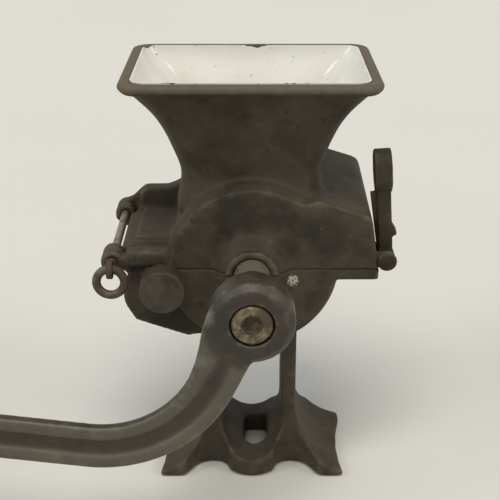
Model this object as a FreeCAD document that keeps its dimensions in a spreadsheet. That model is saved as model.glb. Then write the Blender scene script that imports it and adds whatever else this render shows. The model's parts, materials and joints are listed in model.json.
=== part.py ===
import FreeCAD, Part
import math
import os
import Sketcher

# Hand crank meat grinder with a split casing: the upper half carries the hopper and swings on a pin at
# the left, the lower half carries the stand. A pegged drum turns past fixed knives.
# Casing frame used below: shaft axis along Y through x = 0, z = 0, front face of the disc at y = 0.
# The finished pieces are then set on the stand frame: origin at the middle of the base, table at z = 0.

V = FreeCAD.Vector
doc = FreeCAD.newDocument("meat_grinder")

# Driving sizes in millimetres and degrees
SIZES = {
    # position of the casing frame in the stand frame
    "axis_height": 142.0,
    "face_y": -43.0,
    # casing
    "split_gap": 0.25,
    "disc_r": 49.5,
    "disc_t": 9.0,
    "disc_face_r": 42.5,
    "barrel_r": 47.0,
    "chamber_r": 42.0,
    "casing_depth": 94.0,
    "wall": 5.0,
    "rear_wall": 6.0,
    "flange_t": 6.5,
    "shoulder_tilt": 5.3,
    "flange_right": 70.5,
    "flange_left": 72.0,
    "flange_lip": 3.5,
    "shoulder_front": 0.4,
    # bearings
    "journal_r": 10.2,
    "rear_journal_r": 8.0,
    "running_gap": 0.05,
    "boss_length": 10.9,
    "boss_root_r": 20.7,
    "boss_neck_r": 13.8,
    "boss_ring_r": 15.2,
    "rear_boss_r": 15.0,
    "rear_boss_length": 11.0,
    # hopper
    "hopper_x": -0.8,
    "hopper_mid": 45.5,
    "throat_x": 38.5,
    "throat_y": 34.5,
    "rim_x": 71.0,
    "rim_y": 54.0,
    "rim_bottom": 102.0,
    "rim_top": 107.0,
    "rim_bevel": 1.4,
    "corner_r": 13.0,
    "lining_t": 0.9,
    "lining_foot": 53.0,
    # hinge at the left
    "hinge_x": -79.0,
    "hinge_z": 3.0,
    "knuckle_r": 6.5,
    "knuckle_length": 8.0,
    "knuckle_gap": 0.4,
    "pin_r": 2.5,
    "eye_r": 5.6,
    "eye_t": 3.6,
    "eye_hole_r": 3.8,
    "eye_y": -6.0,
    "ring_r": 7.8,
    "ring_wire_r": 2.5,
    # latch at the right
    "latch_x": 75.9,
    "latch_z": 4.2,
    "lug_r": 5.2,
    "lug_t": 5.0,
    "lever_t": 8.0,
    "lever_width": 9.4,
    "lever_length": 54.2,
    "lever_lean": 4.0,
    "lever_y": 13.0,
    "lever_eye_r": 8.6,
    "lever_hole_r": 4.6,
    "lever_eye_rise": 7.0,
    "lever_eye_t": 9.6,
    "latch_pin_r": 2.5,
    "latch_head_r": 5.6,
    # knife box and knives at the lower left
    "knife_x": -50.0,
    "knife_z": -8.6,
    "knife_bolt_r": 5.0,
    "knife_head_r": 12.7,
    "knife_head_t": 13.0,
    "head_gap": 0.4,
    "knife_pad_r": 12.6,
    "knife_t": 3.0,
    "knife_tip": -27.0,
    "knife_back": -64.0,
    "box_front": 12.0,
    "box_rear": 94.0,
    "spacer_r": 7.9,
    "bolt_hole_gap": 0.1,
    "washer_r": 10.5,
    "washer_t": 1.6,
    "nut_r": 9.6,
    "nut_t": 7.4,
    # drum
    "drum_front": 9.6,
    "drum_length": 77.8,
    "drum_core_r": 24.0,
    "drum_bore_r": 9.0,
    "peg_r": 40.5,
    "peg_t": 8.0,
    "peg_width": 13.0,
    "peg_first": 10.6,
    "peg_pitch": 13.6,
    "drum_pin_r": 2.5,
    # crank
    "crank_rear": -26.5,
    "hub_front": -72.0,
    "hub_r": 22.4,
    "hub_bevel": 4.0,
    "square": 13.0,
    "recess_r": 11.5,
    "recess_depth": 8.0,
    "screw_r": 10.8,
    "thread_r": 4.0,
    "thread_length": 23.0,
    "socket_r": 5.9,
    "socket_depth": 4.0,
    "crank_washer_t": 1.2,
    "arm_front": -71.6,
    "arm_t": 7.5,
    "arm_width": 25.0,
    "arm_flange": 6.8,
    "arm_recess": 2.2,
    "arm_slope": 2.0,
    "arm_edge": 1.6,
    "arm_start_x": -3.3,
    "bend_x": -21.3,
    "bend_z": -36.3,
    "bend_r": 64.7,
    "arm_rise": 7.0,
    "grip_x": -172.0,
    "grip_z": -61.4,
    "grip_boss_r": 13.5,
    "spindle_r": 4.0,
    "grip_length": 92.0,
    # stand
    "base_x": 58.0,
    "base_front": 7.0,
    "base_rear": 79.0,
    "leg_in": 17.8,
    "leg_out": 27.0,
    "leg_front": 24.0,
    "leg_rear": 68.0,
    "side_flare_r": 36.0,
    "side_flare_z": -102.0,
    "front_flare_r": 20.0,
    "front_flare_z": -108.0,
    "window_low": -113.0,
    "scallop_x": 24.5,
    "scallop_r": 10.0,
    "scallop_y": 13.9,
    "waist_x": 54.0,
    "waist_y": 35.0,
    "waist_r": 150.0,
    "slot_x": 2.5,
    "slot_r": 6.8,
    "slot_front": 36.5,
    "slot_rear": 59.5,
    "toe_x": 41.8,
    "toe_turn": 33.0,
    "toe_cut": 9.0,
    "lobe_r": 19.4,
    "lip_length": 16.0,
}
sheet = doc.addObject("Spreadsheet::Sheet", "d")
for row, (alias, value) in enumerate(SIZES.items(), start=1):
    sheet.set(f"A{row}", alias)
    sheet.set(f"B{row}", str(value))
    sheet.setAlias(f"B{row}", alias)
doc.recompute()

TURN = {
    "x": FreeCAD.Rotation(V(0, 1, 0), 90),
    "y": FreeCAD.Rotation(V(1, 0, 0), -90),
    "z": FreeCAD.Rotation(),
}
UPRIGHT = FreeCAD.Rotation(V(1, 0, 0), 90)


def number(text):
    """Value of an expression over the sheet."""
    return float(sheet.evalExpression(text))


def move(obj, x="0", y="0", z="0"):
    """Bind an object's position to expressions."""
    for letter, text in zip("xyz", (x, y, z)):
        obj.setExpression("Placement.Base." + letter, text)
    return obj


def on_stand(obj):
    """Set a piece built in the casing frame on the stand frame."""
    return move(obj, "0", "d.face_y", "d.axis_height")


def box(name, low, size):
    obj = doc.addObject("Part::Box", name)
    for prop, text in zip(("Length", "Width", "Height"), size):
        obj.setExpression(prop, text)
    return move(obj, *low)


def cylinder(name, radius, length, at, along="y"):
    obj = doc.addObject("Part::Cylinder", name)
    obj.Placement = FreeCAD.Placement(V(), TURN[along])
    obj.setExpression("Radius", radius)
    obj.setExpression("Height", length)
    return move(obj, *at)


def fuse(name, *shapes):
    obj = doc.addObject("Part::MultiFuse", name)
    obj.Shapes = list(shapes)
    return obj


def common(name, *shapes):
    obj = doc.addObject("Part::MultiCommon", name)
    obj.Shapes = list(shapes)
    return obj


def cut(name, base, *tools):
    obj = doc.addObject("Part::Cut", name)
    obj.Base = base
    obj.Tool = tools[0] if len(tools) == 1 else fuse(name + "_tool", *tools)
    return obj


def pin_point(sketch, geo, end, x, y):
    """Tie one end of a sketch element to expressions for its two coordinates."""
    for kind, text in (("DistanceX", x), ("DistanceY", y)):
        index = sketch.addConstraint(Sketcher.Constraint(kind, -1, 1, geo, end, number(text)))
        sketch.setExpression(f"Constraints[{index}]", text)


def draw_outline(sketch, points):
    """Closed outline of straight lines, every corner bound to a pair of expressions."""
    ends = [V(number(x), number(y), 0) for x, y in points]
    count = len(points)
    for i in range(count):
        sketch.addGeometry(Part.LineSegment(ends[i], ends[(i + 1) % count]))
    for i in range(count):
        sketch.addConstraint(Sketcher.Constraint("Coincident", i, 2, (i + 1) % count, 1))
    for i, (x, y) in enumerate(points):
        pin_point(sketch, i, 1, x, y)


def outline(name, points, at):
    """Closed outline in an upright x and z plane."""
    sketch = doc.addObject("Sketcher::SketchObject", name)
    sketch.Placement = FreeCAD.Placement(V(), UPRIGHT)
    draw_outline(sketch, points)
    return move(sketch, *at)


def rounded_section(name, half_x, half_y, radius, z):
    """Rounded rectangle at a height, centred on the hopper's middle."""
    sketch = doc.addObject("Sketcher::SketchObject", name)
    near_x, near_y = f"({half_x} - {radius})", f"({half_y} - {radius})"
    hx, hy, r = number(half_x), number(half_y), number(radius)
    for i, (sx, sy) in enumerate(((1, 1), (-1, 1), (-1, -1), (1, -1))):
        start = math.radians(90 * i)
        circle = Part.Circle(V(sx * (hx - r), sy * (hy - r), 0), V(0, 0, 1), r)
        sketch.addGeometry(Part.ArcOfCircle(circle, start, start + math.pi / 2))
        pin_point(sketch, i, 3, f"{sx} * {near_x}", f"{sy} * {near_y}")
        index = sketch.addConstraint(Sketcher.Constraint("Radius", i, r))
        sketch.setExpression(f"Constraints[{index}]", radius)
    for i in range(4):
        arc = sketch.Geometry[i]
        following = sketch.Geometry[(i + 1) % 4]
        line = sketch.addGeometry(Part.LineSegment(arc.EndPoint, following.StartPoint))
        sketch.addConstraint(Sketcher.Constraint("Tangent", i, 2, line, 1))
        sketch.addConstraint(Sketcher.Constraint("Tangent", line, 2, (i + 1) % 4, 1))
    return move(sketch, "d.hopper_x", "d.hopper_mid", z)


def loft(name, sections, straight=False):
    obj = doc.addObject("Part::Loft", name)
    obj.Sections = sections
    obj.Solid = True
    obj.Ruled = straight
    return obj


def prism(name, points, start, length):
    """Outline in x and z carried along Y."""
    obj = doc.addObject("Part::Extrusion", name)
    obj.Base = outline(name + "_outline", points, ("0", start, "0"))
    obj.DirMode = "Custom"
    obj.Dir = V(0, 1, 0)
    obj.setExpression("LengthFwd", length)
    obj.Solid = True
    return obj


def origin_plane(body, role):
    return next(f for f in body.Origin.OriginFeatures if f.Role == role)


def turned(name, points):
    """Body of revolution about the Y axis from (radius, y) corners."""
    body = doc.addObject("PartDesign::Body", name)
    sketch = body.newObject("Sketcher::SketchObject", name + "_profile")
    sketch.AttachmentSupport = [(origin_plane(body, "XY_Plane"), "")]
    sketch.MapMode = "FlatFace"
    draw_outline(sketch, points)
    doc.recompute()
    turn = body.newObject("PartDesign::Revolution", name + "_turn")
    turn.Profile = sketch
    turn.ReferenceAxis = (sketch, ["V_Axis"])
    turn.Angle = 360
    return body


FAR = "400"
above = box("above_split", ("-200", "-200", "d.split_gap"), (FAR, FAR, FAR))
below = box("below_split", ("-200", "-200", "-400 - d.split_gap"), (FAR, FAR, FAR))

# Shared outer form of both casing halves: barrel, front disc, front and rear bearing bosses
barrel = cylinder("barrel", "d.barrel_r", "d.casing_depth", ("0", "0", "0"))
disc = turned("disc", [
    ("0", "0"),
    ("d.disc_face_r", "0"),
    ("d.disc_face_r + 2.4", "0.7"),
    ("d.disc_face_r + 4.4", "2.1"),
    ("d.disc_face_r + 6", "4.3"),
    ("d.disc_r", "d.disc_t - 1.5"),
    ("d.disc_r", "d.disc_t"),
    ("0", "d.disc_t"),
])
front_boss = turned("front_boss", [
    ("0", "1"),
    ("d.boss_root_r + 2.4", "1"),
    ("d.boss_root_r + 0.4", "-0.8"),
    ("d.boss_root_r - 1.6", "-3.2"),
    ("d.boss_root_r - 4.4", "-5.6"),
    ("d.boss_neck_r", "-7"),
    ("d.boss_neck_r", "-8"),
    ("d.boss_ring_r", "-8.6"),
    ("d.boss_ring_r", "-d.boss_length + 0.8"),
    ("d.boss_ring_r - 0.8", "-d.boss_length"),
    ("0", "-d.boss_length"),
])
rear_boss = cylinder("rear_boss", "d.rear_boss_r", "d.rear_boss_length + 1",
                     ("0", "d.casing_depth - 1", "0"))

# Hollows shared by both halves: chamber and the two bearing bores
chamber = cylinder("chamber", "d.chamber_r", "d.casing_depth - d.disc_t - d.rear_wall",
                   ("0", "d.disc_t", "0"))
front_bore = cylinder("front_bore", "d.journal_r + d.running_gap", "d.boss_length + d.disc_t + 2",
                      ("0", "-d.boss_length - 1", "0"))
rear_bore = cylinder("rear_bore", "d.rear_journal_r + d.running_gap", "30",
                     ("0", "d.casing_depth - d.rear_wall - 1", "0"))

# Hopper: a trumpet from the throat up to the rim, given as height, growth across, growth front to back
FLARE = [
    (25, 0, 0),
    (50, 0.6, 0.4),
    (62, 3.6, 2.1),
    (72, 7.4, 4.3),
    (82, 12.2, 7.2),
    (90, 17.6, 10.6),
    (96, 22.8, 13.8),
    (103, 29.0, 17.2),
]


def trumpet(name, inset, levels):
    sections = []
    for i, (z, across, deep) in enumerate(levels):
        half_x = f"(d.throat_x + {across} - {inset})"
        half_y = f"(d.throat_y + {deep} - {inset})"
        sections.append(rounded_section(f"{name}_{i}", half_x, half_y, f"(d.corner_r - {inset})", str(z)))
    return loft(name, sections)


def rim_section(name, inset, z):
    radius = f"(d.corner_r - 2 - {inset})"
    return rounded_section(name, f"(d.rim_x - {inset})", f"(d.rim_y - {inset})", radius, z)


hopper_shell = trumpet("hopper_shell", "0", FLARE)
rim = loft("rim", [
    rim_section("rim_0", "3.4", "d.rim_bottom - 1.6"),
    rim_section("rim_1", "0", "d.rim_bottom + d.rim_bevel"),
    rim_section("rim_2", "0", "d.rim_top - d.rim_bevel"),
    rim_section("rim_3", "d.rim_bevel", "d.rim_top"),
], straight=True)
# The hollow runs inside the wall and opens out to the rim's inner edge
MOUTH = FLARE[:-1] + [(107, 30.8, 17.4)]
hopper_hollow = trumpet("hopper_hollow", "d.wall", MOUTH)
lining_hollow = trumpet("lining_hollow", "(d.wall + d.lining_t)", MOUTH)

# Right-hand shoulder of the upper half, hollow as a feed pocket beside the drum
def shoulder_outline(name, lift, y):
    """Outline across the shoulder; its top stands higher by lift."""
    return outline(name, [
        ("0", "0"),
        ("d.flange_right + 0.5", "0"),
        ("d.flange_right + 0.5", "5"),
        ("d.flange_right - 0.6", "7.4"),
        ("d.flange_right - 1.7", "17"),
        ("d.flange_right - 3.2", f"27 + {lift}"),
        ("d.flange_right - 4.8", f"30.6 + {lift}"),
        ("d.flange_right - 8", f"32.4 + {lift}"),
        ("43.7", f"38.4 + {lift}"),
        ("36", f"40.2 + {lift}"),
        ("30", f"38.6 + {lift}"),
        ("0", "38"),
    ], ("0", y, "0"))


shoulder = loft("shoulder", [
    shoulder_outline("shoulder_front_outline", "0", "d.shoulder_front"),
    shoulder_outline("shoulder_rear_outline", "d.shoulder_tilt", "d.casing_depth"),
], straight=True)
pocket = prism("pocket", [
    ("0", "-1"),
    ("58", "-1"),
    ("60", "14"),
    ("57", "27"),
    ("44", "32.5"),
    ("0", "36"),
], "d.disc_t + 2", "d.casing_depth - d.disc_t - d.rear_wall - 2")

# Left-hand side of the upper half: flat flange, raised pad, rear upstand that sweeps up to the hopper
left_flange = box("left_flange", ("-d.flange_left", "5", "0"),
                  ("d.flange_left", "d.casing_depth - 5", "d.flange_t"))
left_lip = box("left_lip", ("-d.flange_left - d.flange_lip", "20.5", "0"),
               ("d.flange_lip + 2", "58", "d.flange_t - 1"))
left_pad = box("left_pad", ("-67", "25.5", "0"), ("67", "50", "d.flange_t + 3.5"))
front_bar = box("front_bar", ("-71", "4", "0"), ("40", "8.5", "d.flange_t + 3"))
upstand = prism("upstand", [
    ("0", "0"),
    ("-70.5", "0"),
    ("-69.5", "16"),
    ("-66.5", "19.4"),
    ("-52", "19.6"),
    ("-45", "22.6"),
    ("-40", "28.5"),
    ("-30", "38"),
    ("0", "38"),
], "82", "d.casing_depth - 82")
upstand_wing = prism("upstand_wing", [
    ("-60", "1"),
    ("-79", "4"),
    ("-83", "7.6"),
    ("-80.5", "9.3"),
    ("-74.5", "12"),
    ("-69", "17.6"),
    ("-60", "19"),
], "88.6", "d.casing_depth - 88.6")

# Hinge knuckles: the upper half has the outer pair, the lower half the inner pair
FRONT_PAIR = 3.0
REAR_PAIR = 80.0


def knuckle(name, y, sign):
    barrel_part = cylinder(name + "_barrel", "d.knuckle_r", "d.knuckle_length", ("d.hinge_x", y, "d.hinge_z"))
    web_z = "d.split_gap" if sign > 0 else "-d.knuckle_r + 0.5"
    web = box(name + "_web", ("d.hinge_x", y, web_z),
              ("12", "d.knuckle_length", "d.knuckle_r - 0.5 - d.split_gap"))
    return fuse(name, barrel_part, web)


STEP = "d.knuckle_length + d.knuckle_gap"
upper_knuckles = [knuckle("upper_knuckle_front", f"{FRONT_PAIR}", 1),
                  knuckle("upper_knuckle_rear", f"{REAR_PAIR} + {STEP}", 1)]
lower_knuckles = [knuckle("lower_knuckle_front", f"{FRONT_PAIR} + {STEP}", -1),
                  knuckle("lower_knuckle_rear", f"{REAR_PAIR}", -1)]


def pin_bore(name):
    return cylinder(name, "d.pin_r + d.running_gap", FAR, ("d.hinge_x", "-100", "d.hinge_z"))


# Latch lugs on the end of the upper right flange
LUG_GAP = "(d.lever_width / 2 + 0.4)"


def lug(name, y):
    eye = cylinder(name + "_eye", "d.lug_r", "d.lug_t", ("d.latch_x", y, "d.latch_z"))
    web = box(name + "_web", ("d.flange_right - 6", y, "d.split_gap"),
              ("d.latch_x - d.flange_right + 6", "d.lug_t", "d.latch_z + d.lug_r - 1 - d.split_gap"))
    return fuse(name, eye, web)


lugs = [
    lug("lug_front", f"d.lever_y - {LUG_GAP} - d.lug_t"),
    lug("lug_rear", f"d.lever_y + {LUG_GAP}"),
]
lug_bore = cylinder("lug_bore", "d.latch_pin_r + d.running_gap", "60",
                    ("d.latch_x", "d.lever_y - 30", "d.latch_z"))
lever_space = cylinder("lever_space", "d.lug_r + 1", f"2 * {LUG_GAP}",
                       ("d.latch_x", f"d.lever_y - {LUG_GAP}", "d.latch_z"))
pin_head_space = cylinder("pin_head_space", "d.latch_head_r + 0.5", f"d.lever_y - {LUG_GAP} - d.lug_t + 5",
                          ("d.latch_x", "-5", "d.latch_z"))

# Upper casing
upper_outer = fuse("upper_outer", barrel, disc, front_boss, rear_boss, hopper_shell, rim, shoulder,
                   left_flange, left_lip, left_pad, front_bar, upstand, upstand_wing)
upper_half = common("upper_half", upper_outer, above)
upper_lugged = fuse("upper_lugged", upper_half, *upper_knuckles, *lugs)
upper_casing = cut("upper_casing", upper_lugged, chamber, front_bore, rear_bore, hopper_hollow, pocket,
                   pin_bore("upper_pin_bore"), lug_bore, lever_space, pin_head_space)
on_stand(upper_casing)

# Enamel lining on the hopper's inner face
lining_below = box("lining_below", ("-100", "-100", "-100"), (FAR, FAR, "100 + d.lining_foot"))
hopper_lining = cut("hopper_lining", hopper_hollow, lining_hollow, lining_below)
on_stand(hopper_lining)

# Lower casing: half barrel, flanges, knife box, discharge lip, and the two-legged stand
right_flange = box("right_flange", ("0", "d.shoulder_front", "-7"),
                   ("d.flange_right + 0.8", "d.casing_depth - d.shoulder_front", "7"))
left_low_flange = box("left_low_flange", ("-d.flange_left", "8", "-d.flange_t"),
                      ("d.flange_left", "d.casing_depth - 8", "d.flange_t"))
knife_box = prism("knife_box", [
    ("0", "0"),
    ("-70.5", "0"),
    ("-71.5", "-8"),
    ("-74.7", "-22.4"),
    ("-73.4", "-28"),
    ("-67.8", "-37.7"),
    ("-37.6", "-48"),
    ("-28", "-46.6"),
    ("0", "-44"),
], "d.box_front", "d.box_rear - d.box_front")
knife_pad = cylinder("knife_pad", "d.knife_pad_r", "d.box_front + 2 + d.head_gap",
                     ("d.knife_x", "-d.head_gap", "d.knife_z"))
lip_tube = cut("lip_tube",
               cylinder("lip_outer", "d.barrel_r", "d.lip_length + 1", ("0", "d.casing_depth - 1", "0")),
               cylinder("lip_inner", "d.chamber_r - 1", "d.lip_length + 3", ("0", "d.casing_depth - 2", "0")))
lip_zone = box("lip_zone", ("-60", "d.casing_depth - 2", "-60"), ("120", "30", "42"))
lip = common("lip", lip_tube, lip_zone)

BASE_Z = "-d.axis_height"
stand_block = box("stand_block", ("-d.base_x", "d.base_front", BASE_Z),
                  ("2 * d.base_x", "d.base_rear - d.base_front", "d.axis_height - 30"))
stand_cuts = []
toe_corner = {
    -1: ("-d.toe_x + d.toe_cut * cos(d.toe_turn)", "d.base_front - 1 - d.toe_cut * sin(d.toe_turn)"),
    1: ("d.toe_x", "d.base_front - 1"),
}
for side, sign in (("left", -1), ("right", 1)):
    edge = "-70" if sign < 0 else "d.leg_out"
    stand_cuts.append(box(f"{side}_clear", (edge, "-50", "d.side_flare_z"),
                          ("70 - d.leg_out", "200", "100")))
    stand_cuts.append(cylinder(f"{side}_flare", "d.side_flare_r", "200",
                               (f"{sign} * (d.leg_out + d.side_flare_r)", "-50", "d.side_flare_z")))
    stand_cuts.append(cylinder(f"{side}_waist", "d.waist_r", "60",
                               (f"{sign} * (d.waist_x + d.waist_r)", "d.waist_y", f"{BASE_Z} - 1"), "z"))
    stand_cuts.append(cylinder(f"{side}_scallop", "d.scallop_r", "60",
                               (f"{sign} * d.scallop_x", "d.scallop_y", f"{BASE_Z} - 1"), "z"))
    toe_cut = box(f"{side}_toe_cut", toe_corner[sign] + (f"{BASE_Z} - 1",), ("19", "d.toe_cut", "60"))
    toe_cut.Placement = FreeCAD.Placement(V(), FreeCAD.Rotation(V(0, 0, 1), 90 + sign * number("d.toe_turn")))
    stand_cuts.append(toe_cut)
    stand_cuts.append(box(f"{side}_scallop_mouth",
                          (f"{sign} * d.scallop_x - d.scallop_r", "d.base_front - 5", f"{BASE_Z} - 1"),
                          ("2 * d.scallop_r", "d.scallop_y - d.base_front + 5", "60")))
stand_cuts += [
    box("front_clear", ("-80", "-40", "d.front_flare_z"), ("160", "d.leg_front + 40", "110")),
    cylinder("front_flare", "d.front_flare_r", "160",
             ("-80", "d.leg_front - d.front_flare_r", "d.front_flare_z"), "x"),
    box("rear_clear", ("-80", "d.leg_rear", "d.front_flare_z"), ("160", "60", "110")),
    cylinder("rear_flare", "d.front_flare_r", "160",
             ("-80", "d.leg_rear + d.front_flare_r", "d.front_flare_z"), "x"),
    box("window", ("-d.leg_in", "-50", "d.window_low"), ("2 * d.leg_in", "200", "110")),
    cylinder("window_saddle", "d.leg_in", "200", ("0", "-50", "d.window_low")),
    box("slot", ("d.slot_x - d.slot_r", "d.slot_front", f"{BASE_Z} - 1"),
        ("2 * d.slot_r", "d.slot_rear - d.slot_front", "60")),
    cylinder("slot_end", "d.slot_r", "60", ("d.slot_x", "d.slot_front", f"{BASE_Z} - 1"), "z"),
]
lobe_field = box("lobe_field", ("-d.lobe_r - 1", "d.base_front - 5", f"{BASE_Z} - 1"),
                 ("2 * d.lobe_r + 2", "d.lobe_r + 5", "60"))
lobe_round = cylinder("lobe_round", "d.lobe_r", "62", ("0", "d.base_front + d.lobe_r", f"{BASE_Z} - 2"), "z")
lobe_corners = cut("lobe_corners", lobe_field, lobe_round)
stand = cut("stand", stand_block, lobe_corners, *stand_cuts)

knife_slot = box("knife_slot", ("d.knife_back - 1.5", "d.box_front + 5", "-21.5"),
                 ("-d.knife_back + 1.5", "d.box_rear - d.box_front - 10", "40"))
knife_bore = cylinder("knife_bore", "d.knife_bolt_r + d.bolt_hole_gap", "120",
                      ("d.knife_x", "-10", "d.knife_z"))
outlet_ring = cut("outlet_ring",
                  cylinder("outlet_outer", "d.chamber_r - 1", "30", ("0", "d.casing_depth - 15", "0")),
                  cylinder("outlet_inner", "d.rear_boss_r + 2", "40", ("0", "d.casing_depth - 20", "0")))
outlet_zone = box("outlet_zone", ("-60", "d.casing_depth - 20", "-60"), ("120", "60", "46"))
outlet = common("outlet", outlet_ring, outlet_zone)

lower_outer = fuse("lower_outer", barrel, disc, front_boss, rear_boss, right_flange, left_low_flange,
                   knife_box, knife_pad, stand, lip)
lower_half = common("lower_half", lower_outer, below)
lower_knuckled = fuse("lower_knuckled", lower_half, *lower_knuckles)
lower_casing = cut("lower_casing", lower_knuckled, chamber, front_bore, rear_bore, knife_slot, knife_bore,
                   outlet, pin_bore("lower_pin_bore"))
on_stand(lower_casing)

# Hinge pin with a flat eye at its front end, and the ring hanging in the eye
hinge_rod = cylinder("hinge_rod", "d.pin_r", "104", ("d.hinge_x", "d.eye_y", "d.hinge_z"))
hinge_eye = cylinder("hinge_eye", "d.eye_r", "d.eye_t",
                     ("d.hinge_x - d.eye_t / 2", "d.eye_y", "d.hinge_z"), "x")
eye_hole = cylinder("eye_hole", "d.eye_hole_r", "20", ("d.hinge_x - 10", "d.eye_y", "d.hinge_z"), "x")
hinge_pin = cut("hinge_pin", fuse("hinge_pin_blank", hinge_rod, hinge_eye), eye_hole)
on_stand(hinge_pin)

pull_ring = doc.addObject("Part::Torus", "pull_ring")
pull_ring.setExpression("Radius1", "d.ring_r")
pull_ring.setExpression("Radius2", "d.ring_wire_r")
pull_ring.Placement = FreeCAD.Placement(V(), UPRIGHT)
move(pull_ring, "d.hinge_x", "d.face_y + d.eye_y", "d.axis_height + d.hinge_z - d.ring_r")

# Latch lever: hub, flat shank, oval eye, inner rib that leans on the shoulder, nose that hooks the flange
HALF_W = "d.lever_width / 2"
HALF_T = "d.lever_t / 2"
EYE_LOW = "d.lever_length - d.lever_eye_rise"
lever_hub = cylinder("lever_hub", "d.lug_r", "d.lever_width", ("0", f"-{HALF_W}", "0"))
lever_shank = box("lever_shank", (f"-{HALF_T}", f"-{HALF_W}", "0"),
                  ("d.lever_t", "d.lever_width", "d.lever_length - 9"))
lever_rib = prism("lever_rib", [
    (f"-{HALF_T} + 0.5", "7"),
    (f"-{HALF_T} - 0.9", "7"),
    (f"-{HALF_T} - 2.1", "22"),
    (f"-{HALF_T} - 3.4", "38"),
    (f"-{HALF_T} + 0.5", "38"),
], "-2.4", "4.8")
lever_nose = prism("lever_nose", [
    (f"{HALF_T} - 0.5", "11.8"),
    (f"{HALF_T} + 2.6", "12.4"),
    (f"{HALF_T} + 2.6", "15"),
    (f"{HALF_T} - 0.5", "21"),
], f"-{HALF_W} + 1", "d.lever_width - 2")


def oval(name, radius, thickness):
    """Upright oval in the plane of the lever."""
    half = f"{thickness} / 2"
    low = cylinder(name + "_low", radius, thickness, (f"-{half}", "0", EYE_LOW), "x")
    top = cylinder(name + "_top", radius, thickness, (f"-{half}", "0", "d.lever_length"), "x")
    middle = box(name + "_mid", (f"-{half}", f"-({radius})", EYE_LOW),
                 (thickness, f"2 * ({radius})", "d.lever_eye_rise"))
    return fuse(name, low, top, middle)


lever_eye = oval("lever_eye", "d.lever_eye_r", "d.lever_eye_t")
lever_hole = oval("lever_hole", "d.lever_hole_r", "30")
lever_bore = cylinder("lever_bore", "d.latch_pin_r + d.running_gap", "60", ("0", "-30", "0"))
latch_blank = fuse("latch_blank", lever_hub, lever_shank, lever_rib, lever_nose, lever_eye)
latch_lever = cut("latch_lever", latch_blank, lever_hole, lever_bore)
latch_lever.Placement = FreeCAD.Placement(V(), FreeCAD.Rotation(V(0, 1, 0), -number("d.lever_lean")))
move(latch_lever, "d.latch_x", "d.face_y + d.lever_y", "d.axis_height + d.latch_z")

PIN_HALF = f"({LUG_GAP} + d.lug_t)"
latch_pin = turned("latch_pin", [
    ("0", f"-{PIN_HALF} - 2.6"),
    ("d.latch_head_r - 1", f"-{PIN_HALF} - 2.6"),
    ("d.latch_head_r", f"-{PIN_HALF} - 1.8"),
    ("d.latch_head_r", f"-{PIN_HALF}"),
    ("d.latch_pin_r", f"-{PIN_HALF}"),
    ("d.latch_pin_r", f"{PIN_HALF}"),
    ("d.latch_head_r - 1.4", f"{PIN_HALF}"),
    ("d.latch_head_r - 2", f"{PIN_HALF} + 1.4"),
    ("0", f"{PIN_HALF} + 1.4"),
])
move(latch_pin, "d.latch_x", "d.face_y + d.lever_y", "d.axis_height + d.latch_z")

# Drive shaft: squared front end with a tapped hole, front journal, drum seat, rear journal
REAR_END = "d.casing_depth + d.rear_boss_length + 2"
shaft_round = turned("shaft_round", [
    ("0", "d.crank_rear"),
    ("d.journal_r", "d.crank_rear"),
    ("d.journal_r", "d.drum_front - 0.3"),
    ("d.drum_bore_r", "d.drum_front - 0.3"),
    ("d.drum_bore_r", "d.casing_depth - d.rear_wall - 0.3"),
    ("d.rear_journal_r", "d.casing_depth - d.rear_wall - 0.3"),
    ("d.rear_journal_r", REAR_END),
    ("0", REAR_END),
])
shaft_square = box("shaft_square", ("-d.square / 2", "d.hub_front + d.recess_depth + 1", "-d.square / 2"),
                   ("d.square", "d.crank_rear - d.hub_front - d.recess_depth + 4", "d.square"))
screw_hole = cylinder("screw_hole", "d.thread_r", "d.thread_length + 3",
                      ("0", "d.hub_front + d.recess_depth", "0"))
DRUM_MID = "d.drum_front + d.drum_length / 2"
shaft_pin_hole = cylinder("shaft_pin_hole", "d.drum_pin_r", "60", ("-30", DRUM_MID, "0"), "x")
drive_shaft = cut("drive_shaft", fuse("shaft_blank", shaft_round, shaft_square), screw_hole, shaft_pin_hole)
on_stand(drive_shaft)

# Feed drum: core with rows of pegs set on three spirals, clear rows between them for the knives
ROWS = 6
PEGS_PER_ROW = 3
SPIRAL_STEP = 24.0
drum_core = cylinder("drum_core", "d.drum_core_r", "d.drum_length", ("0", "d.drum_front", "0"))
pegs = []
for row_index in range(ROWS):
    for peg_index in range(PEGS_PER_ROW):
        angle = 360.0 / PEGS_PER_ROW * peg_index + SPIRAL_STEP * row_index
        peg = doc.addObject("Part::Box", f"peg_{row_index}_{peg_index}")
        peg.setExpression("Length", "d.peg_width")
        peg.setExpression("Width", "d.peg_t")
        peg.setExpression("Height", "d.peg_r + 2")
        peg.Placement = FreeCAD.Placement(V(), FreeCAD.Rotation(V(0, 1, 0), angle))
        peg_y = f"d.peg_first + d.peg_pitch * {row_index}"
        move(peg, f"-d.peg_width / 2 * cos({angle})", peg_y, f"d.peg_width / 2 * sin({angle})")
        pegs.append(peg)
peg_limit = cylinder("peg_limit", "d.peg_r", "d.drum_length", ("0", "d.drum_front", "0"))
pegged = common("pegged", fuse("peg_rows", *pegs), peg_limit)
drum_blank = fuse("drum_blank", drum_core, pegged)
drum_bore = cylinder("drum_bore", "d.drum_bore_r", "200", ("0", "-50", "0"))
drum_pin_hole = cylinder("drum_pin_hole", "d.drum_pin_r", "200", ("-100", DRUM_MID, "0"), "x")
feed_drum = cut("feed_drum", drum_blank, drum_bore, drum_pin_hole)
on_stand(feed_drum)
drum_pin = cylinder("drum_pin", "d.drum_pin_r", "2 * d.drum_core_r - 2",
                    ("-d.drum_core_r + 1", f"d.face_y + {DRUM_MID}", "d.axis_height"), "x")

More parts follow.
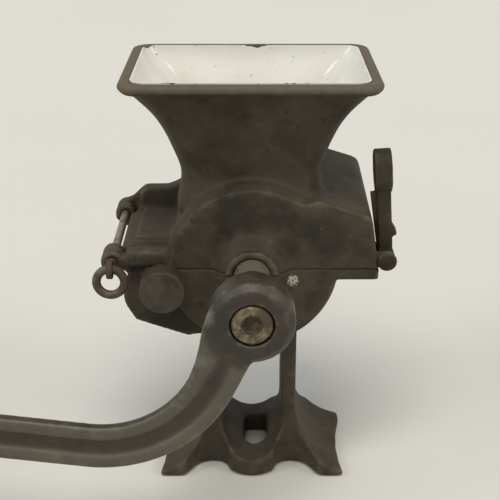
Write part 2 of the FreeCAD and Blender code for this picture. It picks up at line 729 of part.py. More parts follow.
# Knife stack on its bolt: blades stand in the clear rows of the drum
KNIVES = ROWS - 1
BOX_IN = "(d.box_front + 5)"
BOX_OUT = "(d.box_rear - 5)"


def knife_y(i):
    """Front face of blade i, in the middle of the clear row behind peg row i."""
    return f"(d.peg_first + d.peg_pitch * {i} + (d.peg_pitch + d.peg_t - d.knife_t) / 2)"


def group(name, members):
    obj = doc.addObject("Part::Compound", name)
    obj.Links = members
    return on_stand(obj)


BLADE_OUTLINE = [
    ("d.knife_back", "-20.5"),
    ("d.knife_tip - 6", "-20.5"),
    ("d.knife_tip", "-15"),
    ("d.knife_tip", "-6"),
    ("d.knife_tip - 3", "-1.2"),
    ("d.knife_back", "-1.2"),
]
stack_hole = cylinder("stack_hole", "d.knife_bolt_r + d.bolt_hole_gap", FAR,
                      ("d.knife_x", "-100", "d.knife_z"))
blades = []
spacers = []
for i in range(KNIVES):
    plate = prism(f"blade_plate_{i}", BLADE_OUTLINE, knife_y(i), "d.knife_t")
    blades.append(cut(f"blade_{i}", plate, stack_hole))
spacer_starts = [BOX_IN] + [f"({knife_y(i)} + d.knife_t)" for i in range(KNIVES)]
spacer_ends = [knife_y(i) for i in range(KNIVES)] + [BOX_OUT]
for i, (low, high) in enumerate(zip(spacer_starts, spacer_ends)):
    sleeve = cylinder(f"spacer_round_{i}", "d.spacer_r", f"{high} - {low}", ("d.knife_x", low, "d.knife_z"))
    spacers.append(cut(f"spacer_{i}", sleeve, stack_hole))
knife_blades = group("knife_blades", blades)
knife_spacers = group("knife_spacers", spacers)

knife_bolt = turned("knife_bolt", [
    ("0", "-d.knife_head_t - d.head_gap"),
    ("d.knife_head_r - 0.8", "-d.knife_head_t - d.head_gap"),
    ("d.knife_head_r", "-d.knife_head_t - d.head_gap + 0.8"),
    ("d.knife_head_r", "-d.head_gap"),
    ("d.knife_bolt_r", "-d.head_gap"),
    ("d.knife_bolt_r", "d.box_rear + 11"),
    ("d.knife_bolt_r - 1", "d.box_rear + 12"),
    ("0", "d.box_rear + 12"),
])
move(knife_bolt, "d.knife_x", "d.face_y", "d.axis_height + d.knife_z")
knife_washer = turned("knife_washer", [
    ("d.knife_bolt_r + d.bolt_hole_gap", "d.box_rear"),
    ("d.washer_r", "d.box_rear"),
    ("d.washer_r", "d.box_rear + d.washer_t"),
    ("d.knife_bolt_r + d.bolt_hole_gap", "d.box_rear + d.washer_t"),
])
move(knife_washer, "d.knife_x", "d.face_y", "d.axis_height + d.knife_z")
nut_blank = doc.addObject("Part::Prism", "nut_blank")
nut_blank.Polygon = 6
nut_blank.setExpression("Circumradius", "d.nut_r")
nut_blank.setExpression("Height", "d.nut_t")
nut_blank.Placement = FreeCAD.Placement(V(), TURN["y"])
move(nut_blank, "d.knife_x", "d.box_rear + d.washer_t", "d.knife_z")
knife_nut = cut("knife_nut", nut_blank,
                cylinder("nut_hole", "d.knife_bolt_r", "40", ("d.knife_x", "d.box_rear - 5", "d.knife_z")))
on_stand(knife_nut)

# Crank: hub turned like a trumpet, curved I-section arm swept along its centre line, boss for the grip
hub = turned("hub", [
    ("0", "d.crank_rear"),
    ("11.6", "d.crank_rear"),
    ("11.9", "d.crank_rear - 6"),
    ("13.4", "d.crank_rear - 13"),
    ("16.6", "d.crank_rear - 19"),
    ("d.hub_r - 1.5", "d.crank_rear - 24"),
    ("d.hub_r", "d.crank_rear - 27"),
    ("d.hub_r", "d.hub_front + d.hub_bevel"),
    ("d.hub_r - d.hub_bevel", "d.hub_front"),
    ("0", "d.hub_front"),
])
rise = math.radians(number("d.arm_rise"))
bend_r = number("d.bend_r")
arm_start = V(number("d.arm_start_x"), 0, 0)
bend_start = V(number("d.bend_x"), number("d.bend_z"), 0)
heading = (bend_start - arm_start).normalize()
toward_centre = V(heading.y, -heading.x, 0)
bend_centre = bend_start + toward_centre * bend_r
run_heading = V(-math.cos(rise), math.sin(rise), 0)
bend_end = bend_centre - V(run_heading.y, -run_heading.x, 0) * bend_r
start_angle = math.atan2(bend_start.y - bend_centre.y, bend_start.x - bend_centre.x)
end_angle = math.atan2(bend_end.y - bend_centre.y, bend_end.x - bend_centre.x)
path = doc.addObject("Sketcher::SketchObject", "arm_path")
path.Placement = FreeCAD.Placement(V(), UPRIGHT)
path.addGeometry(Part.LineSegment(arm_start, bend_start))
path.addGeometry(Part.ArcOfCircle(Part.Circle(bend_centre, V(0, 0, 1), bend_r), end_angle, start_angle))
path.addGeometry(Part.LineSegment(bend_end, V(number("d.grip_x"), number("d.grip_z"), 0)))
path.addConstraint(Sketcher.Constraint("Tangent", 0, 2, 1, 2))
path.addConstraint(Sketcher.Constraint("Tangent", 1, 1, 2, 1))
pin_point(path, 0, 1, "d.arm_start_x", "0")
pin_point(path, 0, 2, "d.bend_x", "d.bend_z")
radius_index = path.addConstraint(Sketcher.Constraint("Radius", 1, bend_r))
path.setExpression(f"Constraints[{radius_index}]", "d.bend_r")
pin_point(path, 2, 2, "d.grip_x", "d.grip_z")
move(path, "0", "d.arm_front + d.arm_t / 2", "0")

arm_profile = doc.addObject("Sketcher::SketchObject", "arm_profile")
half_w = "d.arm_width / 2"
in_w = "(d.arm_width / 2 - d.arm_flange)"
half_t = "d.arm_t / 2"
in_t = "(d.arm_t / 2 - d.arm_recess)"
edge_w = "(d.arm_width / 2 - d.arm_edge)"
edge_t = "(d.arm_t / 2 - d.arm_edge)"
web_w = "(d.arm_width / 2 - d.arm_flange - d.arm_slope)"
draw_outline(arm_profile, [
    (f"-{half_w}", f"-{edge_t}"),
    (f"-{edge_w}", f"-{half_t}"),
    (f"-{in_w}", f"-{half_t}"),
    (f"-{web_w}", f"-{in_t}"),
    (web_w, f"-{in_t}"),
    (in_w, f"-{half_t}"),
    (edge_w, f"-{half_t}"),
    (half_w, f"-{edge_t}"),
    (half_w, edge_t),
    (edge_w, half_t),
    (in_w, half_t),
    (web_w, in_t),
    (f"-{web_w}", in_t),
    (f"-{in_w}", half_t),
    (f"-{edge_w}", half_t),
    (f"-{half_w}", edge_t),
])
across = V(-heading.y, 0, heading.x)
along_arm = V(heading.x, 0, heading.y)
arm_profile.Placement = FreeCAD.Placement(V(), FreeCAD.Rotation(across, V(0, 1, 0), along_arm, "XYZ"))
move(arm_profile, "d.arm_start_x", "d.arm_front + d.arm_t / 2", "0")
doc.recompute()
arm = doc.addObject("Part::Sweep", "arm")
arm.Sections = [arm_profile]
arm.Spine = (path, ["Edge1", "Edge2", "Edge3"])
arm.Solid = True
arm.Frenet = True
arm_root = prism("arm_root", [
    ("-12", "8"),
    ("-22.3", "6.5"),
    ("-25.6", "-3.5"),
    ("-27.2", "-13.5"),
    ("-29.8", "-23.5"),
    ("-32.8", "-31.5"),
    ("-24", "-31.5"),
    ("-14", "-12"),
], "d.arm_front + d.arm_edge / 2", "d.arm_t - d.arm_edge")
grip_boss = cylinder("grip_boss", "d.grip_boss_r", "d.arm_t + 3",
                     ("d.grip_x", "d.arm_front - 1.5", "d.grip_z"))
square_hole = box("square_hole", ("-d.square / 2", "d.hub_front - 2", "-d.square / 2"),
                  ("d.square", "80", "d.square"))
screw_recess = cylinder("screw_recess", "d.recess_r", "d.recess_depth + 10",
                        ("0", "d.hub_front - 10", "0"))
spindle_hole = cylinder("spindle_hole", "d.spindle_r", "80", ("d.grip_x", "d.arm_front - 30", "d.grip_z"))
crank_blank = fuse("crank_blank", hub, arm, arm_root, grip_boss)
crank_arm = cut("crank_arm", crank_blank, square_hole, screw_recess, spindle_hole)
on_stand(crank_arm)

FLOOR = "(d.hub_front + d.recess_depth)"
crank_washer = turned("crank_washer", [
    ("d.thread_r + 0.3", f"{FLOOR} - d.crank_washer_t"),
    ("d.screw_r", f"{FLOOR} - d.crank_washer_t"),
    ("d.screw_r", FLOOR),
    ("d.thread_r + 0.3", FLOOR),
])
on_stand(crank_washer)
screw_body = turned("screw_body", [
    ("0", "d.hub_front + 0.6"),
    ("d.screw_r - 1.2", "d.hub_front + 0.6"),
    ("d.screw_r", "d.hub_front + 1.6"),
    ("d.screw_r", f"{FLOOR} - d.crank_washer_t"),
    ("d.thread_r", f"{FLOOR} - d.crank_washer_t"),
    ("d.thread_r", f"{FLOOR} + d.thread_length - 1"),
    ("d.thread_r - 1", f"{FLOOR} + d.thread_length"),
    ("0", f"{FLOOR} + d.thread_length"),
])
socket = doc.addObject("Part::Prism", "socket")
socket.Polygon = 6
socket.setExpression("Circumradius", "d.socket_r")
socket.setExpression("Height", "d.socket_depth + 1")
socket.Placement = FreeCAD.Placement(V(), TURN["y"])
move(socket, "0", "d.hub_front - 0.4", "0")
crank_screw = cut("crank_screw", screw_body, socket)
on_stand(crank_screw)

# Grip: spindle riveted in the arm's boss, turned wooden grip, end washer under the spindle's riveted head
ARM_FACE = "(d.arm_front - 1.5)"
GRIP_BACK = f"({ARM_FACE} - 3.4)"
GRIP_END = f"({GRIP_BACK} - d.grip_length)"
grip_spindle = turned("grip_spindle", [
    ("0", "d.arm_front + d.arm_t + 3.5"),
    ("4.6", "d.arm_front + d.arm_t + 3.5"),
    ("6", "d.arm_front + d.arm_t + 1.5"),
    ("d.spindle_r", "d.arm_front + d.arm_t + 1.5"),
    ("d.spindle_r", ARM_FACE),
    ("8.5", ARM_FACE),
    ("8.5", f"{ARM_FACE} - 3"),
    ("d.spindle_r", f"{ARM_FACE} - 3"),
    ("d.spindle_r", f"{GRIP_END} - 2"),
    ("6.2", f"{GRIP_END} - 2"),
    ("4.8", f"{GRIP_END} - 4"),
    ("0", f"{GRIP_END} - 4"),
])
move(grip_spindle, "d.grip_x", "d.face_y", "d.axis_height + d.grip_z")
# Turned form of the grip: radius, and share of the length from the arm outward
GRIP_FORM = [
    (10.2, 0),
    (11.6, 0.03),
    (11.8, 0.08),
    (9.6, 0.13),
    (10.4, 0.22),
    (12.8, 0.4),
    (14.4, 0.6),
    (15, 0.75),
    (14.2, 0.88),
    (11.6, 0.96),
    (8.6, 1),
]
bore_r = "(d.spindle_r + 0.08)"
grip = turned("grip", [(bore_r, GRIP_BACK)]
              + [(str(r), f"{GRIP_BACK} - d.grip_length * {share}") for r, share in GRIP_FORM]
              + [(bore_r, GRIP_END)])
move(grip, "d.grip_x", "d.face_y", "d.axis_height + d.grip_z")
grip_washer = turned("grip_washer", [
    ("d.spindle_r", f"{GRIP_END} - 0.4"),
    ("8", f"{GRIP_END} - 0.4"),
    ("8", f"{GRIP_END} - 2"),
    ("d.spindle_r", f"{GRIP_END} - 2"),
])
move(grip_washer, "d.grip_x", "d.face_y", "d.axis_height + d.grip_z")

# Check every object, then write one file for each piece
doc.recompute()
PIECES = [
    upper_casing, hopper_lining, lower_casing, hinge_pin, pull_ring, latch_lever, latch_pin, drive_shaft,
    feed_drum, drum_pin, knife_blades, knife_spacers, knife_bolt, knife_washer, knife_nut, crank_arm,
    crank_washer, crank_screw, grip_spindle, grip, grip_washer,
]
for obj in doc.Objects:
    if "Invalid" in obj.State or "Error" in obj.State:
        raise RuntimeError(f"{obj.Name}: {obj.State}")
os.makedirs("parts", exist_ok=True)
for piece in PIECES:
    piece.Label = piece.Name
    shape = piece.Shape
    if shape.isNull() or not shape.isValid():
        raise RuntimeError(f"{piece.Name}: bad shape")
    print(piece.Label, len(shape.Solids), round(shape.Volume), shape.BoundBox)
    shape.exportStep(f"parts/{piece.Label}.step")
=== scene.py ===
import json
import math
import bmesh
import bpy
import numpy as np
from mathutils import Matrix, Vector, noise


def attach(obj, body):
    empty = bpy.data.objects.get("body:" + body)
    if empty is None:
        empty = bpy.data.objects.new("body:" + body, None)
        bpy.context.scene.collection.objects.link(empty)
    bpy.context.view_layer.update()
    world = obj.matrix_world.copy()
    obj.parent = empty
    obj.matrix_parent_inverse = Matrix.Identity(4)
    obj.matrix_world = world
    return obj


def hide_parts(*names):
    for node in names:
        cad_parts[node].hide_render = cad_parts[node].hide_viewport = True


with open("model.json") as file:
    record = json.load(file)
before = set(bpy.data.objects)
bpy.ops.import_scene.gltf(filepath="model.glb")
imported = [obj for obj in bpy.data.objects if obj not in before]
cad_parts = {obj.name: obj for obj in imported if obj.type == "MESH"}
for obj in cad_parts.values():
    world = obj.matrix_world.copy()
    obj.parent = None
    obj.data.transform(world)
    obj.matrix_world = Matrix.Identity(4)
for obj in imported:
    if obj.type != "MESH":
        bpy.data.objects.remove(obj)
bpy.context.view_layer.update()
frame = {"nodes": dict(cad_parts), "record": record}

MM = 0.001
JOINT_PLACE = {joint["name"]: joint["pos_m"] for joint in frame["record"]["behaviour"]["joints"]}
SPLIT = JOINT_PLACE["crank_turn"][2]  # the two casing halves meet at the height of the shaft
scene = bpy.context.scene
scene.view_settings.view_transform = "Standard"


# Node helpers

class Shader:
    """Small wrapper for building a node material."""

    def __init__(self, name):
        self.material = bpy.data.materials.new(name)
        self.material.use_nodes = True
        self.tree = self.material.node_tree
        self.tree.nodes.clear()
        self.bsdf = self.add("ShaderNodeBsdfPrincipled")
        output = self.add("ShaderNodeOutputMaterial")
        self.link(self.bsdf.outputs[0], output.inputs["Surface"])
        self.coords = self.add("ShaderNodeTexCoord").outputs["Object"]

    def add(self, kind, **settings):
        node = self.tree.nodes.new(kind)
        for key, value in settings.items():
            setattr(node, key, value)
        return node

    def link(self, source, target):
        self.tree.links.new(source, target)

    def feed(self, socket, value):
        """Set a socket from a number, a colour or another node's output."""
        if isinstance(value, bpy.types.NodeSocket):
            self.link(value, socket)
        else:
            socket.default_value = value

    def noise(self, scale, detail, rough, seed, stretch=None):
        """Noise of about so many cells to the metre, as a 0 to 1 value."""
        vector = self.coords
        if stretch:
            mapping = self.add("ShaderNodeMapping")
            mapping.inputs["Scale"].default_value = stretch
            self.link(vector, mapping.inputs["Vector"])
            vector = mapping.outputs[0]
        node = self.add("ShaderNodeTexNoise", noise_dimensions="4D")
        self.link(vector, node.inputs["Vector"])
        node.inputs["W"].default_value = seed
        node.inputs["Scale"].default_value = scale
        node.inputs["Detail"].default_value = detail
        node.inputs["Roughness"].default_value = rough
        return node.outputs["Fac"]

    def ramp(self, value, low, high, to_low=0.0, to_high=1.0):
        """Carry the range from low to high over to another range, held at its ends."""
        node = self.add("ShaderNodeMapRange", clamp=True)
        self.link(value, node.inputs["Value"])
        for key, number in (("From Min", low), ("From Max", high), ("To Min", to_low), ("To Max", to_high)):
            node.inputs[key].default_value = number
        return node.outputs[0]

    def math(self, operation, a, b):
        node = self.add("ShaderNodeMath", operation=operation)
        self.feed(node.inputs[0], a)
        self.feed(node.inputs[1], b)
        return node.outputs[0]

    def mix(self, factor, first, second):
        """Colour between two colours; a mix node's colour sockets are its inputs 6 and 7 and output 2."""
        node = self.add("ShaderNodeMix", data_type="RGBA")
        self.feed(node.inputs["Factor"], factor)
        self.feed(node.inputs[6], first)
        self.feed(node.inputs[7], second)
        return node.outputs[2]

    def axis(self, letter):
        """One coordinate of the point, in metres."""
        node = self.add("ShaderNodeSeparateXYZ")
        self.link(self.coords, node.inputs[0])
        return node.outputs["XYZ".index(letter)]

    def spot(self, place, inner, outer):
        """1 within so many millimetres of a place, fading to 0."""
        node = self.add("ShaderNodeVectorMath", operation="DISTANCE")
        self.link(self.coords, node.inputs[0])
        node.inputs[1].default_value = [length * MM for length in place]
        return self.ramp(node.outputs["Value"], inner * MM, outer * MM, 1.0, 0.0)

    def attribute(self, name):
        return self.add("ShaderNodeAttribute", attribute_name=name).outputs["Fac"]

    def bump(self, height, distance, strength, under=None):
        node = self.add("ShaderNodeBump")
        node.inputs["Strength"].default_value = strength
        node.inputs["Distance"].default_value = distance
        self.link(height, node.inputs["Height"])
        if under is not None:
            self.link(under, node.inputs["Normal"])
        return node.outputs[0]

    def set(self, **values):
        """Set or link inputs of the surface; an underscore stands for a space in a name."""
        for key, value in values.items():
            self.feed(self.bsdf.inputs[key.replace("_", " ")], value)


def srgb(red, green, blue):
    """Linear colour from display values of 0 to 255."""
    def linear(value):
        value /= 255
        return value / 12.92 if value <= 0.04045 else ((value + 0.055) / 1.055) ** 2.4
    return (linear(red), linear(green), linear(blue), 1.0)


# Materials

SOOT = srgb(38, 35, 30)
ENAMEL_CRUMBS = srgb(172, 167, 147)


def iron(name, dark, main, worn, roughness, gloss=0.34,
         stains=(), rubbed_and_highlit=(), chips=(), rim=None, channel=None):
    """Old cast iron: oily skin, black patches, sand-cast grain, ridges lighter from wear and painted
    highlight, hollows darker from dirt and painted shade.

    Stains, worn places and chips are spots; the worn places given for the crank are painted highlights.
    Rim is the height above which the iron is worn lighter; channel is the front of the arm, the middle of
    the hub and the hub's reach, for painted shade in the arm's channel and a painted highlight on its front
    faces.
    """
    s = Shader(name)
    broad = s.noise(17, 4, 0.55, seed=1.0)
    fine = s.noise(150, 5, 0.6, seed=2.0)
    grain = s.noise(1000, 2, 0.5, seed=3.0)
    oil = s.noise(48, 4, 0.55, seed=13.0)
    black = tuple(0.5 * part for part in dark[:3]) + (1.0,)
    colour = s.mix(s.ramp(broad, 0.36, 0.64), dark, main)
    colour = s.mix(s.ramp(fine, 0.5, 0.8, 0.0, 0.25), colour, worn)
    colour = s.mix(s.ramp(oil, 0.50, 0.66, 0.0, 0.6), colour, black)
    flakes = s.noise(95, 6, 0.68, seed=16.0)
    ragged = s.ramp(flakes, 0.3, 0.7, -0.5, 0.5)
    for place, inner, outer in stains:
        patch = s.math("ADD", s.spot(place, inner, outer), ragged)
        colour = s.mix(s.ramp(patch, 0.25, 1.0, 0.0, 0.62), colour, SOOT)
    if rim:
        colour = s.mix(s.ramp(s.axis("Z"), rim * MM, (rim + 1.5) * MM, 0.0, 0.6), colour, worn)
    if channel:
        front, hub, reach = channel
        # Painted shade deep in the arm's channel, and a painted highlight on the arm's front faces beside
        # it
        depth = s.ramp(s.axis("Y"), (front + 0.9) * MM, (front + 2.3) * MM)
        away = s.spot(hub, reach + 3, reach)
        colour = s.mix(s.math("MULTIPLY", s.ramp(depth, 0.0, 1.0, 0.0, 0.45), away), colour, black)
        colour = s.mix(s.math("MULTIPLY", s.ramp(depth, 0.0, 1.0, 0.25, 0.0), away), colour, worn)
    # Convex places lighter: rubbed wear, and painted highlight along the edges
    uneven = s.ramp(fine, 0.3, 0.7, -0.12, 0.12)
    ridge = s.ramp(s.math("ADD", s.attribute("ridge"), uneven), 0.60, 0.90, 0.0, 0.8)
    colour = s.mix(ridge, colour, worn)
    # Hollows and the casing seam darker: painted shade, with dirt
    hollow = s.ramp(s.attribute("ridge"), 0.18, 0.44, 0.6, 0.0)
    colour = s.mix(hollow, colour, black)
    # Worn places lighter; those given for the crank are painted highlights
    for place, inner, outer in rubbed_and_highlit:
        patch = s.math("ADD", s.spot(place, inner, outer), ragged)
        colour = s.mix(s.ramp(patch, 0.4, 1.2, 0.0, 0.5), colour, worn)
    rough = s.ramp(fine, 0.3, 0.7, roughness - 0.06, roughness + 0.08)
    crumbs = s.noise(700, 3, 0.6, seed=14.0)
    for place, inner, outer in chips:
        near = s.spot(place, inner, outer)
        white = s.ramp(s.math("ADD", near, s.ramp(crumbs, 0.3, 0.7, -1.2, 0.5)), 0.3, 0.5)
        colour = s.mix(s.math("MULTIPLY", white, s.ramp(near, 0.0, 0.3)), colour, ENAMEL_CRUMBS)
    s.set(Base_Color=colour, Roughness=rough, Specular_IOR_Level=gloss, Metallic=0.0)
    normal = s.bump(broad, 0.8 * MM, 0.25)
    normal = s.bump(oil, 0.5 * MM, 0.3, normal)
    normal = s.bump(fine, 0.3 * MM, 0.35, normal)
    normal = s.bump(grain, 0.08 * MM, 0.5, normal)
    s.link(normal, s.bsdf.inputs["Normal"])
    return s.material


def steel(name, main, rust, roughness=0.38, metallic=0.8, rusting=0.5, rusted=()):
    """Worn steel with patches of rust, wholly rusted spots and turning marks."""
    s = Shader(name)
    broad = s.noise(60, 5, 0.65, seed=4.0)
    fine = s.noise(420, 5, 0.6, seed=5.0)
    marks = s.noise(500, 2, 0.5, stretch=(0.1, 1.0, 0.1), seed=6.0)
    mottled = s.math("ADD", broad, s.ramp(fine, 0.3, 0.7, -0.08, 0.08))
    patch = s.ramp(mottled, 0.56 - 0.2 * rusting, 0.70 - 0.2 * rusting)
    for place, inner, outer in rusted:
        patch = s.math("MAXIMUM", patch, s.spot(place, inner, outer))
    s.set(Base_Color=s.mix(patch, main, rust),
          Roughness=s.ramp(patch, 0, 1, roughness, 0.75),
          Metallic=s.ramp(patch, 0, 1, metallic, 0.1))
    normal = s.bump(marks, 0.05 * MM, 0.5)
    normal = s.bump(s.math("MULTIPLY", patch, fine), 0.2 * MM, 0.7, normal)
    s.link(normal, s.bsdf.inputs["Normal"])
    return s.material


def enamel(name):
    """White vitreous enamel: glossy, stained low down, chipped to dark iron along its upper edge."""
    s = Shader(name)
    height = s.axis("Z")
    stain = s.noise(30, 4, 0.55, seed=7.0)
    ripple = s.noise(70, 3, 0.5, seed=15.0)
    speck = s.noise(420, 2, 0.5, seed=8.0)
    chip = s.noise(95, 3, 0.55, seed=9.0)
    white, cream, bare_iron = srgb(232, 230, 222), srgb(214, 208, 190), srgb(58, 50, 42)
    colour = s.mix(s.ramp(stain, 0.42, 0.72, 0.0, 0.5), white, cream)
    colour = s.mix(s.ramp(height, 215 * MM, 175 * MM, 0.0, 0.7), colour, srgb(176, 164, 138))
    colour = s.mix(s.ramp(speck, 0.69, 0.72, 0.0, 0.8), colour, srgb(98, 84, 66))
    near_rim = s.ramp(height, 245.5 * MM, 249 * MM, 0.0, 0.25)
    bare = s.ramp(s.math("ADD", chip, near_rim), 0.82, 0.85)
    colour = s.mix(bare, colour, bare_iron)
    s.set(Base_Color=colour, Roughness=s.ramp(bare, 0, 1, 0.2, 0.6), Coat_Weight=0.2, Coat_Roughness=0.05)
    normal = s.bump(ripple, 0.6 * MM, 0.35)
    normal = s.bump(s.ramp(bare, 0, 1, 1.0, 0.0), 0.25 * MM, 0.8, normal)
    s.link(normal, s.bsdf.inputs["Normal"])
    return s.material


def wood(name):
    """Dark varnished hardwood with grain along the grip."""
    s = Shader(name)
    rings = s.noise(150, 4, 0.55, stretch=(1.0, 0.06, 1.0), seed=10.0)
    pores = s.noise(900, 2, 0.5, stretch=(1.0, 0.04, 1.0), seed=11.0)
    worn = s.noise(45, 4, 0.6, seed=12.0)
    colour = s.mix(s.ramp(rings, 0.35, 0.65), srgb(70, 38, 20), srgb(122, 74, 42))
    colour = s.mix(s.ramp(pores, 0.55, 0.7, 0.0, 0.7), colour, srgb(42, 24, 14))
    colour = s.mix(s.ramp(worn, 0.5, 0.75, 0.0, 0.5), colour, srgb(140, 96, 62))
    s.set(Base_Color=colour, Roughness=s.ramp(worn, 0.3, 0.8, 0.28, 0.5),
          Coat_Weight=0.2, Coat_Roughness=0.25)
    s.link(s.bump(pores, 0.15 * MM, 0.6), s.bsdf.inputs["Normal"])
    return s.material


# Spots: place in millimetres, radius of the full effect and radius where it ends
BLACKENED = [
    ((-6, -43, 176), 8, 22), ((14, -43, 176), 5, 15), ((27, -43, 168), 5, 14), ((43, -43, 160), 6, 17),
    ((-17, -43, 157), 4, 12), ((18, -43, 154), 4, 11), ((0, -52, 160), 3, 12),
    ((-45, -31, 107), 10, 26), ((-5, -60, 215), 6, 30),
]
CHIPPED = [((23.0, -43.0, 135.6), 2.0, 4.8), ((38.3, -42.6, 166.7), 0.35, 0.8)]
# Painted highlights: lighter spots on the hub's left bevel and the arm's left flange
PAINTED_HIGHLIGHTS = [((-24, -112, 147), 3, 10), ((-26, -112, 122), 3, 11)]
GREASED = [((0, -116, 142), 17, 29)]
CASING = iron("casing_iron", srgb(54, 48, 38), srgb(70, 63, 51), srgb(106, 98, 81), 0.6,
              gloss=0.22, stains=BLACKENED, chips=CHIPPED, rim=244)
# The crank's light worn colour also stands for painted highlights on the hub's bevel and edges
CRANK = iron("crank_iron", srgb(54, 48, 38), srgb(70, 63, 50), srgb(125, 119, 104), 0.42,
             gloss=0.4, stains=GREASED, rubbed_and_highlit=PAINTED_HIGHLIGHTS, channel=(-114.6, (0, -112, 142), 24))
LATCH = iron("latch_iron", srgb(46, 40, 32), srgb(58, 51, 42), srgb(96, 90, 82), 0.55,
             gloss=0.14, rubbed_and_highlit=[((-51, -52, 121), 18, 28)])
DRUM = iron("drum_iron", srgb(96, 93, 88), srgb(140, 136, 130), srgb(176, 172, 165), 0.4)
STEEL = steel("worn_steel", srgb(136, 129, 110), srgb(72, 58, 45), metallic=0.5, rusting=0.3,
              rusted=[((-79, -49, 145), 8, 13)])
RING = steel("ring_iron", srgb(104, 92, 80), srgb(72, 58, 48), metallic=0.4, rusting=0.8)
BLADE = steel("blade_steel", srgb(182, 180, 176), srgb(110, 92, 78), 0.28, rusting=0.1)
BRASS = steel("screw_brass", srgb(132, 120, 90), srgb(70, 62, 46), 0.5, metallic=0.5, rusting=0.75)
ENAMEL = enamel("enamel")
WOOD = wood("grip_wood")
MATERIALS = {
    "casing_iron": CASING, "crank_iron": CRANK, "drum_iron": DRUM, "latch_iron": LATCH, "enamel": ENAMEL,
    "worn_steel": STEEL, "ring_iron": RING, "blade_steel": BLADE, "screw_brass": BRASS, "grip_wood": WOOD,
}


# Cast pieces: the same solids with their corners rounded and a slightly uneven skin

class Skin:
    """Vertex positions of a mesh with the neighbours of each vertex."""

    def __init__(self, mesh):
        self.mesh = mesh
        self.count = len(mesh.vertices)
        ends = np.empty(2 * len(mesh.edges), dtype=np.int32)
        mesh.edges.foreach_get("vertices", ends)
        one, two = ends[0::2], ends[1::2]
        self.here = np.concatenate((one, two))
        self.there = np.concatenate((two, one))
        self.degree = np.maximum(np.bincount(self.here, minlength=self.count), 1)
        self.points = np.empty(3 * self.count)
        mesh.vertices.foreach_get("co", self.points)
        self.points = self.points.reshape(-1, 3)

    def gather(self, values):
        return np.bincount(self.here, weights=values[self.there], minlength=self.count)

    def middles(self):
        """Average of the vertices around each vertex."""
        return np.stack([self.gather(self.points[:, k]) / self.degree for k in range(3)], axis=1)

    def smooth(self, rounds, weight):
        for _ in range(rounds):
            self.points += 0.5 * weight[:, None] * (self.middles() - self.points)

    def normals(self):
        self.mesh.vertices.foreach_set("co", self.points.ravel())
        self.mesh.update()
        normals = np.empty(3 * self.count)
        self.mesh.vertices.foreach_get("normal", normals)
        return normals.reshape(-1, 3)

    def roughen(self, depth, weight):
        """Sink the skin by an uneven amount, up to the given depth."""
        broad, fine = 55, 160  # waves to the metre
        places = [Vector(p) for p in self.points]
        waves = np.array([0.6 * noise.noise(p * broad) + 0.4 * noise.noise(p * fine) for p in places])
        self.points -= self.normals() * (depth * MM * weight * (0.5 + 0.5 * waves))[:, None]

    def store_ridges(self, clean, rounds=6):
        """Keep each vertex's convexity, 0.5 on flats, as an attribute that the iron materials read.

        Where the skin isn't clean it counts as a hollow, which the materials darken with painted shade and
        dirt.
        """
        normals = self.normals()
        spans = np.linalg.norm(self.points[self.here] - self.points[self.there], axis=1)
        reach = np.bincount(self.here, weights=spans, minlength=self.count) / self.degree
        values = ((self.points - self.middles()) * normals).sum(axis=1) / np.maximum(reach, 1e-9)
        for _ in range(rounds):
            values = (values + self.gather(values)) / (self.degree + 1)
        values = values * clean - 0.1 * (1 - clean)
        layer = self.mesh.attributes.new("ridge", "FLOAT", "POINT")
        layer.data.foreach_set("value", np.clip(0.5 + 2.2 * values, 0.0, 1.0))


# Regions: a weight of 0 to 1 for each point

def everywhere(points):
    return np.ones(len(points))


def off_split(points):
    """0 at the faces where the casing halves meet, 1 away from them."""
    return np.clip((np.abs(points[:, 2] - SPLIT) - 0.4 * MM) / (2.0 * MM), 0.0, 1.0)


def off_hub(points):
    """0 on the crank hub, 1 along the arm."""
    return np.clip((np.hypot(points[:, 0], points[:, 2] - SPLIT) - 25 * MM) / (9.0 * MM), 0.0, 1.0)


def recess_end(points):
    """1 where the arm's channel runs out towards the hub."""
    distance = np.linalg.norm(points - np.array([-13, -112, 121]) * MM, axis=1)
    return np.clip((14 * MM - distance) / (6.0 * MM), 0.0, 1.0)


def on_base(points):
    """1 on the base and the lower legs, 0 above."""
    return np.clip((85 * MM - points[:, 2]) / (25.0 * MM), 0.0, 1.0)


def close_split(skin):
    """Bring the meeting faces of the casing halves to a hairline."""
    reach, half_gap = 0.45 * MM, 0.06 * MM
    above = skin.points[:, 2] - SPLIT
    near = np.abs(above) < reach
    skin.points[near, 2] = SPLIT + np.sign(above[near]) * half_gap


def cast_copy(node, voxel, unevenness, passes):
    """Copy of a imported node, rounded by smoothing passes and made slightly uneven.

    The voxel size and the unevenness are in millimetres. A pass is a number of rounds and the region
    they work on; the first pass's region is also where the skin is uneven and clean.
    """
    mesh = frame["nodes"][node].data.copy()
    piece = bpy.data.objects.new(node + "_cast", mesh)
    scene.collection.objects.link(piece)
    bm = bmesh.new()
    bm.from_mesh(mesh)
    bmesh.ops.remove_doubles(bm, verts=bm.verts, dist=0.001 * MM)
    bm.to_mesh(mesh)
    bm.free()
    remesh = piece.modifiers.new("remesh", "REMESH")
    remesh.mode = "VOXEL"
    remesh.voxel_size = voxel * MM
    shaped = bpy.data.meshes.new_from_object(piece.evaluated_get(bpy.context.evaluated_depsgraph_get()))
    piece.modifiers.clear()
    piece.data = shaped
    skin = Skin(shaped)
    for rounds, region in passes:
        skin.smooth(rounds, region(skin.points))
    first_region = passes[0][1]
    skin.roughen(unevenness, first_region(skin.points))
    if first_region is off_split:
        close_split(skin)
    skin.store_ridges(first_region(skin.points))
    shaped.shade_smooth()
    return piece


SUBPART_SLOT = {sub["node"]: sub["material_slot"] for sub in frame["record"]["subparts"]}
BODY_OF = {node: body for body, nodes in frame["record"]["behaviour"]["bodies"].items() for node in nodes}


def dress(piece, slot_name):
    """Give a piece the material of its slot, and no other."""
    piece.data.materials.clear()
    piece.data.materials.append(MATERIALS[slot_name])


